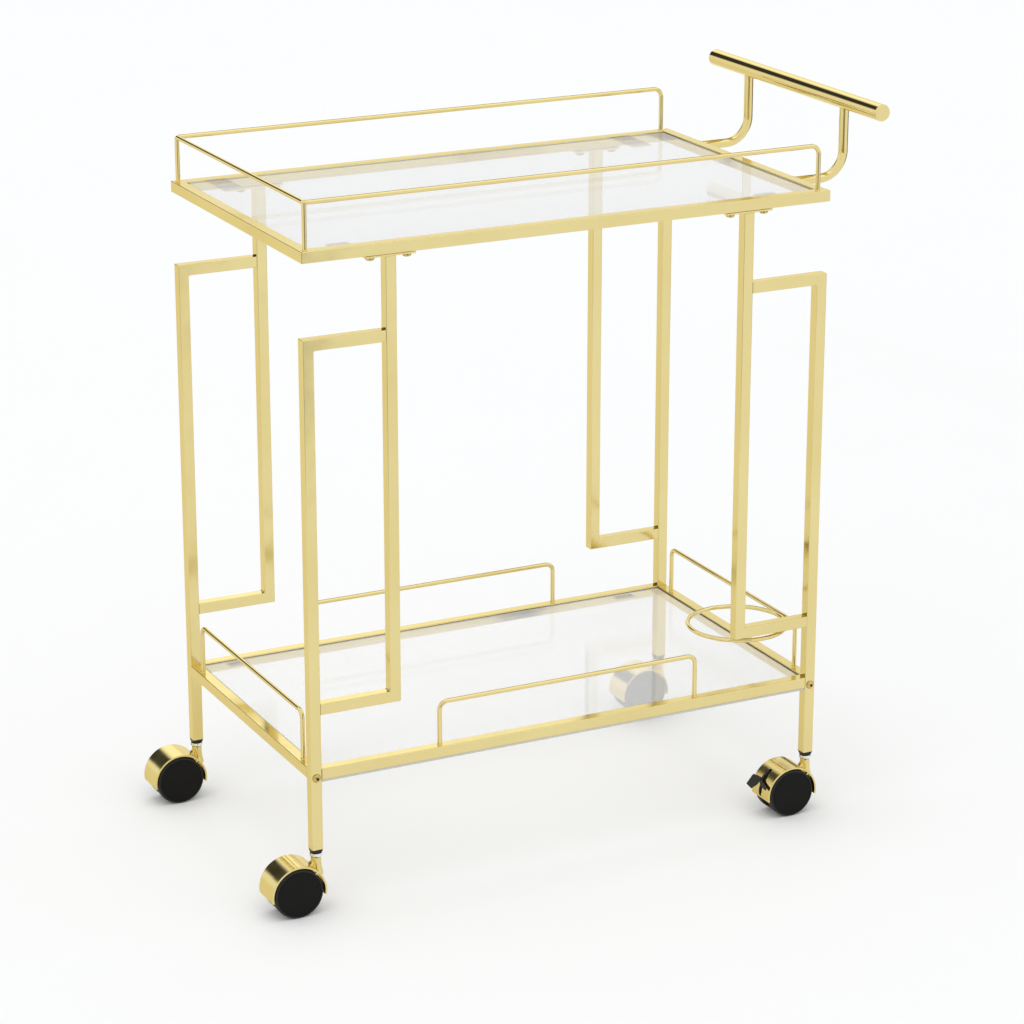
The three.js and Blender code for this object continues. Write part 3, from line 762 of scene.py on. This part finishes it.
def strut(side_name):
    """A bent strut from the tray up into the grip bar, with a thin weld where it leaves the tray."""
    node = f"handle_strut_{side_name}"
    low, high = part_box(node)
    bar = middle(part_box("handle_bar"))
    y = middle((low, high)).y
    z = low.z + STRUT
    foot = Vector((low.x - 0.2 * MM, y, z))
    line = bent([foot, Vector((bar.x, y, z)), Vector((bar.x, y, bar.z))], [STRUT_BEND], 20)
    weld = [(0, 0), (STRUT + 0.9 * MM, 0), (STRUT + 0.6 * MM, 0.5 * MM), (STRUT, 1.2 * MM), (0, 1.2 * MM)]
    bm = start()
    rod(bm, line, STRUT, 32)
    turned(bm, weld, Matrix.Translation(foot) @ Matrix.Rotation(math.pi / 2, 4, "Y"), 32)
    piece = finish_mesh(f"strut_{side_name}", bm, [gold_bar])
    dress(piece, "frame", node)


grip()
for side_name, sy in SIDES:
    strut(side_name)

# ------------------------------------------------------------------ bolts


def socket_bolt(name, node, seat, direction, radius, sizes):
    """A bolt with a washer under its round head and a hexagon socket in it."""
    height = sizes["head"]
    steps = 36
    socket = 1.6 * MM
    depth = 1.8 * MM
    washer = 0.5 * MM
    turns = [math.tau * i / steps for i in range(steps)]
    place = Matrix.Translation(seat) @ Vector((0, 0, 1)).rotation_difference(direction).to_matrix().to_4x4()
    bm = start()
    rings = []

    def circle(r, z):
        rings.append([bm.verts.new(place @ Vector((r * math.cos(t), r * math.sin(t), z))) for t in turns])

    def hexagon(apothem, z):
        ring = []
        for t in turns:
            r = apothem / math.cos((t % (math.pi / 3)) - math.pi / 6)
            ring.append(bm.verts.new(place @ Vector((r * math.cos(t), r * math.sin(t), z))))
        rings.append(ring)

    circle(BOLT_SHANK, -sizes["length"])
    circle(BOLT_SHANK, 0)
    circle(radius - 0.1 * MM, 0)
    circle(radius, 0.1 * MM)
    circle(radius, washer - 0.1 * MM)
    circle(radius - 0.1 * MM, washer)
    head = radius - 0.45 * MM
    circle(head, washer)
    flat = head * (1 - sizes["dome"])
    rise = min(height - washer - 0.2 * MM, head * sizes["dome"])
    for angle in range(0, 91, 15):
        turn = math.radians(angle)
        circle(flat + (head - flat) * math.cos(turn), height - rise + rise * math.sin(turn))
    hexagon(socket, height)
    hexagon(socket, height - depth)
    capped(bm, rings)

    def pick(face):
        """The socket's walls and floor take a darker plating: painted shade in the recess."""
        out = face.center - seat
        along = out.dot(direction)
        return 1 if (out - direction * along).length < socket * 1.05 and along > 0 else 0

    piece = finish_mesh(name, bm, [gold_bolt_shaded, socket_painted_shade], sharp=28, pick=pick)
    dress(piece, "frame", node)


for corner, sy, _ in CORNERS:
    for i in (1, 2):
        node = f"plate_bolt_{corner}_{i}"
        low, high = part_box(node)
        seat = middle((low, high))
        seat.z = low.z + PLATE_BOLT["head"]
        radius = (high.x - low.x) / 2
        name = f"plate_screw_{corner}_{i}"
        socket_bolt(name, node, seat, Vector((0, 0, -1)), radius, PLATE_BOLT)
    node = f"shelf_bolt_{corner}"
    low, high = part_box(node)
    seat = middle((low, high))
    seat.y = low.y + SHELF_BOLT["head"] if sy < 0 else high.y - SHELF_BOLT["head"]
    radius = (high.x - low.x) / 2
    name = f"shelf_screw_{corner}"
    socket_bolt(name, node, seat, Vector((0, sy, 0)), radius, SHELF_BOLT)

# ------------------------------------------------------------------ casters


def post_plug(corner, stem):
    """Black insert that closes the post's end: a rounded flange as wide as the tube."""
    node = f"post_plug_{corner}"
    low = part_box(node)[0]
    post_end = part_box(f"leg_{corner}")[0].z
    half = TUBE / 2
    levels = (
        (low.z, half - 1.5 * MM, 4.2 * MM),
        (low.z + 0.35 * MM, half - 0.8 * MM, 4.0 * MM),
        (low.z + 1.1 * MM, half - 0.3 * MM, 3.2 * MM),
        (post_end - 1.0 * MM, half - 0.05 * MM, 1.8 * MM),
        (post_end - 0.15 * MM, half, 1.1 * MM),
    )
    bm = start()
    rings = []
    for z, reach, round_by in levels:
        near = (stem.x - reach, stem.y - reach)
        far = (stem.x + reach, stem.y + reach)
        outline = rounded_outline(near, far, round_by, 5)
        rings.append([bm.verts.new((x, y, z)) for x, y in outline])
    capped(bm, rings)
    piece = finish_mesh(f"plug_{corner}", bm, [plug_black], sharp=40)
    dress(piece, "frame", node)


def stem_pin(corner, stem):
    """The plated stem and its round, slightly barrelled collar."""
    node = f"caster_stem_{corner}"
    low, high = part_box(node)
    radius = (high.x - low.x) / 2
    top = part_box(f"post_plug_{corner}")[0].z + 0.1 * MM
    foot = top - 3.7 * MM
    profile = [
        (0, foot - 8 * MM),
        (3.5 * MM, foot - 8 * MM),
        (3.5 * MM, foot),
        (radius - 0.9 * MM, foot),
        (radius - 0.3 * MM, foot + 0.3 * MM),
        (radius, foot + 0.9 * MM),
        (radius + 0.1 * MM, foot + 1.5 * MM),
        (radius - 0.25 * MM, foot + 1.8 * MM),
        (radius - 0.25 * MM, foot + 2.1 * MM),
        (radius + 0.1 * MM, foot + 2.4 * MM),
        (radius, top - 0.3 * MM),
        (radius - 0.3 * MM, top),
        (0, top),
    ]
    bm = start()
    turned(bm, profile, Matrix.Translation(Vector((stem.x, stem.y, 0))), 40)
    piece = finish_mesh(f"stem_{corner}", bm, [chrome])
    dress(piece, "frame", node)


def carve(piece, cutter_bm):
    """Cuts a shape out of a piece for good."""
    cutter = finish_mesh("cutter", cutter_bm, [])
    piece.modifiers.clear()
    cut = piece.modifiers.new("cut", "BOOLEAN")
    cut.object = cutter
    cut.operation = "DIFFERENCE"
    cut.solver = "EXACT"
    shaped = piece.evaluated_get(bpy.context.evaluated_depsgraph_get())
    mesh = bpy.data.meshes.new_from_object(shaped)
    piece.modifiers.clear()
    piece.data = mesh
    mesh.set_sharp_from_angle(angle=math.radians(32))
    flatten(piece)
    bpy.data.objects.remove(cutter)


def hood(corner, axle, stem, braked):
    """The plated hood: a round shell over both wheels, its mid web, and the boss that takes the stem."""
    node = f"caster_hood_{corner}"
    low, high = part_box(node)
    outer = axle.x - low.x
    inner = outer - HOOD_SHELL
    half = (high.y - low.y) / 2
    dip = math.degrees(math.asin((axle.z - rim_low(node, axle, outer)) / outer))
    section = rounded_outline((inner, -half), (outer, half), 0.35 * MM, 3)
    bm = start()
    band(bm, section, axle, -dip, 180 + dip, 96)
    for side in (-1, 1):
        nib = sorted((side * half, side * (half - 0.6 * MM)))
        shape = rounded_outline((inner - 2.2 * MM, nib[0]), (inner + 0.4 * MM, nib[1]), 0.2 * MM, 2)
        band(bm, shape, axle, 45, 48.5, 4)
    piece = finish_mesh(f"hood_{corner}", bm, [gold_hood])
    if braked:
        slot_bm = start()
        slot = rounded_outline((inner - 3 * MM, -2.2 * MM), (outer + 3 * MM, 2.2 * MM), 0.3 * MM, 2)
        band(slot_bm, slot, axle, SLOT_FROM, SLOT_TO, 32)
        carve(piece, slot_bm)
    dress(piece, f"swivel_{corner}", node)

    bm = start()
    web = arc_points((0, 0), inner + 0.3 * MM, 8, 120 if braked else 172, 24)
    if braked:
        web += arc_points((0, 0), 17 * MM, 120, 188, 10)
    web += [(-6 * MM, -7 * MM), (6 * MM, -7 * MM)]
    extruded(bm, web, axle, -HOOD_WEB, HOOD_WEB, 0, 1)
    web_piece = finish_mesh(f"web_{corner}", bm, [gold_hood], 0.5 * MM, 2)
    dress(web_piece, f"swivel_{corner}")

    boss_top = high.z
    shoulder = axle.z + 16 * MM
    profile = [
        (0, shoulder - 4 * MM),
        (BOSS + 1.9 * MM, shoulder - 4 * MM),
        (BOSS + 1.5 * MM, shoulder - 1 * MM),
        (BOSS + 0.75 * MM, shoulder + 1.5 * MM),
        (BOSS + 0.3 * MM, shoulder + 4 * MM),
        (BOSS + 0.05 * MM, shoulder + 8 * MM),
        (BOSS - 0.05 * MM, boss_top - 0.7 * MM),
        (BOSS - 0.25 * MM, boss_top - 0.2 * MM),
        (BOSS - 0.8 * MM, boss_top),
        (0, boss_top),
    ]
    bm = start()
    turned(bm, profile, Matrix.Translation(Vector((stem.x, stem.y, 0))), 40)
    foot = Vector((stem.x, axle.y, axle.z))
    gusset = [(-4.0, 20.5), (-10.5, 21.0), (-9.0, 23.6), (-6.2, 25.2), (-4.6, 27.4), (-4.0, 27.4)]
    for side in (-1, 1):
        a, b = sorted((side * 1.3 * MM, side * 3.0 * MM))
        extruded(bm, [(x * MM, z * MM) for x, z in gusset], foot, a, b, 0.5, 0.5)
    boss_piece = finish_mesh(f"boss_{corner}", bm, [gold_hood], 0.5 * MM, 2)
    dress(boss_piece, f"swivel_{corner}")


def rim_low(node, axle, outer):
    """Height of the hood shell's lower rim, from the lowest CAD vertex far out from the axle."""
    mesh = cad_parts[node].data
    return min(v.co.z for v in mesh.vertices if (v.co - axle).xz.length > outer - 0.3 * MM)


def wheel(corner, which, sy, axle):
    """One wheel: soft tread with round shoulders, a plain outer disc with a shallow rim, a dished inside."""
    node = f"caster_wheel_{corner}_{which}"
    low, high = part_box(node)
    radius = (high.z - low.z) / 2
    inner = (low.y if sy > 0 else -high.y) - sy * axle.y
    outer = (high.y if sy > 0 else -low.y) - sy * axle.y
    shoulder = 2.2 * MM
    profile = [
        (0, inner + 1.2 * MM),
        (3.6 * MM, inner + 1.2 * MM),
        (6.5 * MM, inner),
        (radius - 4 * MM, inner + 1.5 * MM),
        (radius - 1.6 * MM, inner),
        (radius - 0.5 * MM, inner + 0.45 * MM),
        (radius, inner + 1.6 * MM),
        *arc_points((radius - shoulder, outer - shoulder), shoulder, 0, 90, 6),
        (radius - 3.0 * MM, outer),
        (radius - 3.3 * MM, outer - 0.35 * MM),
        (radius - 3.9 * MM, outer - 0.4 * MM),
        (radius - 5.0 * MM, outer - 0.1 * MM),
        (radius * 0.5, outer),
        (0, outer),
    ]
    turn = Matrix.Rotation(-sy * math.pi / 2, 4, "X")
    bm = start()
    turned(bm, profile, Matrix.Translation(axle) @ turn, 72)
    rim = radius - 2.6 * MM

    def pick(face):
        centre = face.center - axle
        flat = abs(face.normal.y) > 0.6 and math.hypot(centre.x, centre.z) < rim
        return 1 if flat else 0

    piece = finish_mesh(f"wheel_{corner}_{which}", bm, [tread_black, disc_black], pick=pick)
    dress(piece, f"wheel_{corner}_{which}", node)


def axle_pin(corner, axle):
    node = f"caster_axle_{corner}"
    low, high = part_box(node)
    half = (high.y - low.y) / 2
    radius = (high.z - low.z) / 2
    profile = [(0, -half), (radius - 0.5 * MM, -half), (radius, -half + 0.5 * MM)]
    profile += [(radius, half - 0.5 * MM), (radius - 0.5 * MM, half), (0, half)]
    bm = start()
    turned(bm, profile, Matrix.Translation(axle) @ Matrix.Rotation(-math.pi / 2, 4, "X"), 32)
    piece = finish_mesh(f"axle_{corner}", bm, [steel])
    dress(piece, f"swivel_{corner}", node)


def pedal(corner, axle):
    """The brake's foot pedal: a rib that rides in the hood's slot, a thin wing just off the hood towards the
    front and a larger one that stands further off it towards the back."""
    node = f"brake_pedal_{corner}"
    rib = arc_points((0, 0), 26 * MM, 180, 128, 10)
    rib += arc_points((0, 0), 32.4 * MM, 128, 138, 3)
    rib += arc_points((0, 0), 33.4 * MM, 141, 152, 3)
    rib += arc_points((0, 0), 31.9 * MM, 158, 180, 6)
    bm = start()
    extruded(bm, rib, axle, -1.1 * MM, 1.1 * MM, 0.2, 0.4)

    def wing(outer_face, thick):
        """A plate: its outer face as (x, y, z) points from the axle in mm, its inner face nearer the axle."""
        outer_points = [axle + Vector(point) * MM for point in outer_face]
        centre = sum(outer_points, Vector()) / len(outer_points)
        normal = (outer_points[1] - outer_points[0]).cross(outer_points[2] - outer_points[0]).normalized()
        if normal.dot(axle - centre) < 0:
            normal = -normal
        prism(bm, outer_points, [point + normal * thick * MM for point in outer_points])

    front_wing = (
        (-29.6, 0.6, 16.9),
        (-30.8, -8.0, 14.2),
        (-31.3, -14.0, 12.7),
        (-32.7, -14.0, 8.5),
        (-33.0, -3.0, 10.4),
    )
    back_wing = (
        (-30.0, -0.6, 17.0),
        (-31.6, 7.0, 17.6),
        (-32.4, 14.4, 16.6),
        (-40.0, 14.4, 7.6),
        (-37.0, 8.4, 3.0),
        (-34.4, 1.0, 9.6),
    )
    wing(front_wing, 1.5)
    wing(back_wing, 2.1)
    piece = finish_mesh("pedal_plate", bm, [pedal_black], 0.6 * MM, 3)
    dress(piece, "brake_pedal", node)


for corner, _, _ in CORNERS:
    wheels = around(f"caster_wheel_{corner}_front", f"caster_wheel_{corner}_back")
    axle = middle(wheels)
    stem = middle(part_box(f"caster_stem_{corner}"))
    braked = corner == "front_right"
    post_plug(corner, stem)
    stem_pin(corner, stem)
    hood(corner, axle, stem, braked)
    axle_pin(corner, axle)
    wheel(corner, "front", -1, axle)
    wheel(corner, "back", 1, axle)
    if braked:
        pedal(corner, axle)

# ------------------------------------------------------------------ floor, light and camera

scene = bpy.context.scene
scene.view_settings.view_transform = "Standard"


def floor():
    """A pale seamless floor, wide enough that the camera never sees past it."""
    n = Nodes("floor_pale")
    n.paint(n.noise(1.2, 3), (0.895, 0.900, 0.904), (0.903, 0.908, 0.912))
    n.roughen(n.noise(6, 3), 0.7, 0.8)
    n.set(Specular_IOR_Level=0.2)
    bm = start()
    reach = 14.0
    outline = [Vector((sx * reach, sy * reach, 0)) for sx, sy in ((-1, -1), (1, -1), (1, 1), (-1, 1))]
    bm.faces.new([bm.verts.new(point) for point in outline])
    finish_mesh("floor", bm, [n.material])


def hide_from_all_but_reflections(piece):
    piece.visible_camera = False
    piece.visible_diffuse = False
    piece.visible_shadow = False
    piece.visible_transmission = False


def matte(name, first, second, scale, rough):
    """Matt board with a faint drift of tone."""
    n = Nodes(name)
    n.paint(n.noise(scale, 3), first, second)
    n.set(Roughness=rough)
    return n.material


def card(name, x, y, width, material):
    """A standing studio card, turned to the cart, that only reflections see. It gives rods dark streaks."""
    foot = Vector((x, y, 0.02))
    rise = Vector((0, 0, 0.5))
    toward = Vector((-x, -y, 0)).normalized()
    sideways = Vector((0, 0, 1)).cross(toward) * width / 2
    bm = start()
    points = (foot - sideways, foot + sideways, foot + sideways + rise, foot - sideways + rise)
    bm.faces.new([bm.verts.new(point) for point in points])
    hide_from_all_but_reflections(finish_mesh(name, bm, [material]))


def warm_sheet(material):
    """A warm sheet on the floor, under and behind the cart, seen by reflections only. It warms the tubes."""
    bm = start()
    outline = ((-3.2, -0.16), (0.34, -0.16), (0.34, 3.6), (-3.2, 3.6))
    bm.faces.new([bm.verts.new((x, y, 0.0015)) for x, y in outline])
    hide_from_all_but_reflections(finish_mesh("warm_sheet", bm, [material]))


def cards():
    grey = matte("card_grey", (0.32, 0.30, 0.26), (0.38, 0.36, 0.32), 3, 0.95)
    card("card_near", -0.40, -1.48, 1.45, grey)
    brown = matte("card_brown", (0.18, 0.155, 0.125), (0.24, 0.21, 0.17), 3, 0.95)
    card("card_right", 1.75, 0.62, 2.3, brown)
    warm_sheet(matte("sheet_warm", (0.86, 0.82, 0.68), (0.83, 0.79, 0.65), 2, 0.9))


def key_light():
    """A broad soft light from high on the left, the same over the whole floor."""
    light = bpy.data.lights.new("key_light", "SUN")
    light.energy = 1.0
    light.color = (1.02, 1.0, 0.955)
    light.angle = math.radians(75)
    lamp = bpy.data.objects.new("key_light", light)
    lamp.location = (-1.2, -1.0, 3.2)
    lamp.rotation_mode = "QUATERNION"
    lamp.rotation_quaternion = Vector((0.30, 0.22, -0.93)).to_track_quat("-Z", "Y")
    lamp.visible_glossy = False
    scene.collection.objects.link(lamp)


def studio():
    """A white room. What mirrors it also sees a soft dark opening at the back left, a slightly paler one
    high at the back right, a bright panel between them and a bright ceiling."""
    world = bpy.data.worlds.new("studio")
    scene.world = world
    world.use_nodes = True
    tree = world.node_tree
    tree.nodes.clear()

    def add(kind, **settings):
        node = tree.nodes.new(kind)
        for key, value in settings.items():
            setattr(node, key, value)
        return node

    def link(source, target):
        tree.links.new(source, target)

    def value_of(operation, *values):
        node = add("ShaderNodeMath", operation=operation)
        for i, value in enumerate(values):
            if hasattr(value, "links"):
                link(value, node.inputs[i])
            else:
                node.inputs[i].default_value = value
        return node.outputs[0]

    view = add("ShaderNodeTexCoord").outputs["Generated"]

    def panel(direction, inside, outside):
        """1 within an angle of a direction: the cosines are where it is full and where it ends."""
        dot = add("ShaderNodeVectorMath", operation="DOT_PRODUCT")
        link(view, dot.inputs[0])
        dot.inputs[1].default_value = Vector(direction).normalized()
        node = add("ShaderNodeMapRange", interpolation_type="SMOOTHSTEP")
        link(dot.outputs["Value"], node.inputs["Value"])
        node.inputs["From Min"].default_value = outside
        node.inputs["From Max"].default_value = inside
        return node.outputs["Result"]

    opening = panel((-0.273, 0.883, 0.382), 0.982, 0.945)
    side_panel = panel((0.25, 0.848, 0.47), 0.995, 0.965)
    ceiling = panel((0.35, -0.25, 0.90), 0.96, 0.80)
    bright = value_of("ADD", value_of("MULTIPLY", side_panel, 0.35), value_of("MULTIPLY", ceiling, 0.30))
    slit = panel((0.42, 0.61, 0.67), 0.980, 0.945)
    dark = value_of("ADD", value_of("MULTIPLY", opening, 0.96), value_of("MULTIPLY", slit, 0.85))
    wall = value_of("SUBTRACT", 1.0, dark)
    gloss = value_of("ADD", wall, bright)

    path = add("ShaderNodeLightPath")
    mix = add("ShaderNodeMix", data_type="RGBA")
    link(path.outputs["Is Glossy Ray"], mix.inputs["Factor"])
    mix.inputs["A"].default_value = (0.797, 0.806, 0.822, 1)
    link(gloss, mix.inputs["B"])
    seen = add("ShaderNodeMix", data_type="RGBA")
    link(path.outputs["Is Camera Ray"], seen.inputs["Factor"])
    link(mix.outputs["Result"], seen.inputs["A"])
    seen.inputs["B"].default_value = (0.983, 0.988, 0.992, 1)
    background = add("ShaderNodeBackground")
    link(seen.outputs["Result"], background.inputs["Color"])
    link(background.outputs[0], add("ShaderNodeOutputWorld").inputs["Surface"])


def camera():
    """Looks down on the cart from the front left, through a long lens."""
    azimuth = math.radians(-26.58)
    elevation = math.radians(18.39)
    distance = 3.654
    back = Vector(
        (
            math.sin(azimuth) * math.cos(elevation),
            -math.cos(azimuth) * math.cos(elevation),
            math.sin(elevation),
        )
    )
    target = Vector((0.0059, 0, 0.3362))
    data = bpy.data.cameras.new("camera")
    data.sensor_width = 36
    data.lens = 118.26
    data.clip_end = 60
    eye = bpy.data.objects.new("camera", data)
    eye.location = target + back * distance
    eye.rotation_mode = "QUATERNION"
    eye.rotation_quaternion = (-back).to_track_quat("-Z", "Y")
    scene.collection.objects.link(eye)
    scene.camera = eye


floor()
cards()
key_light()
studio()
camera()
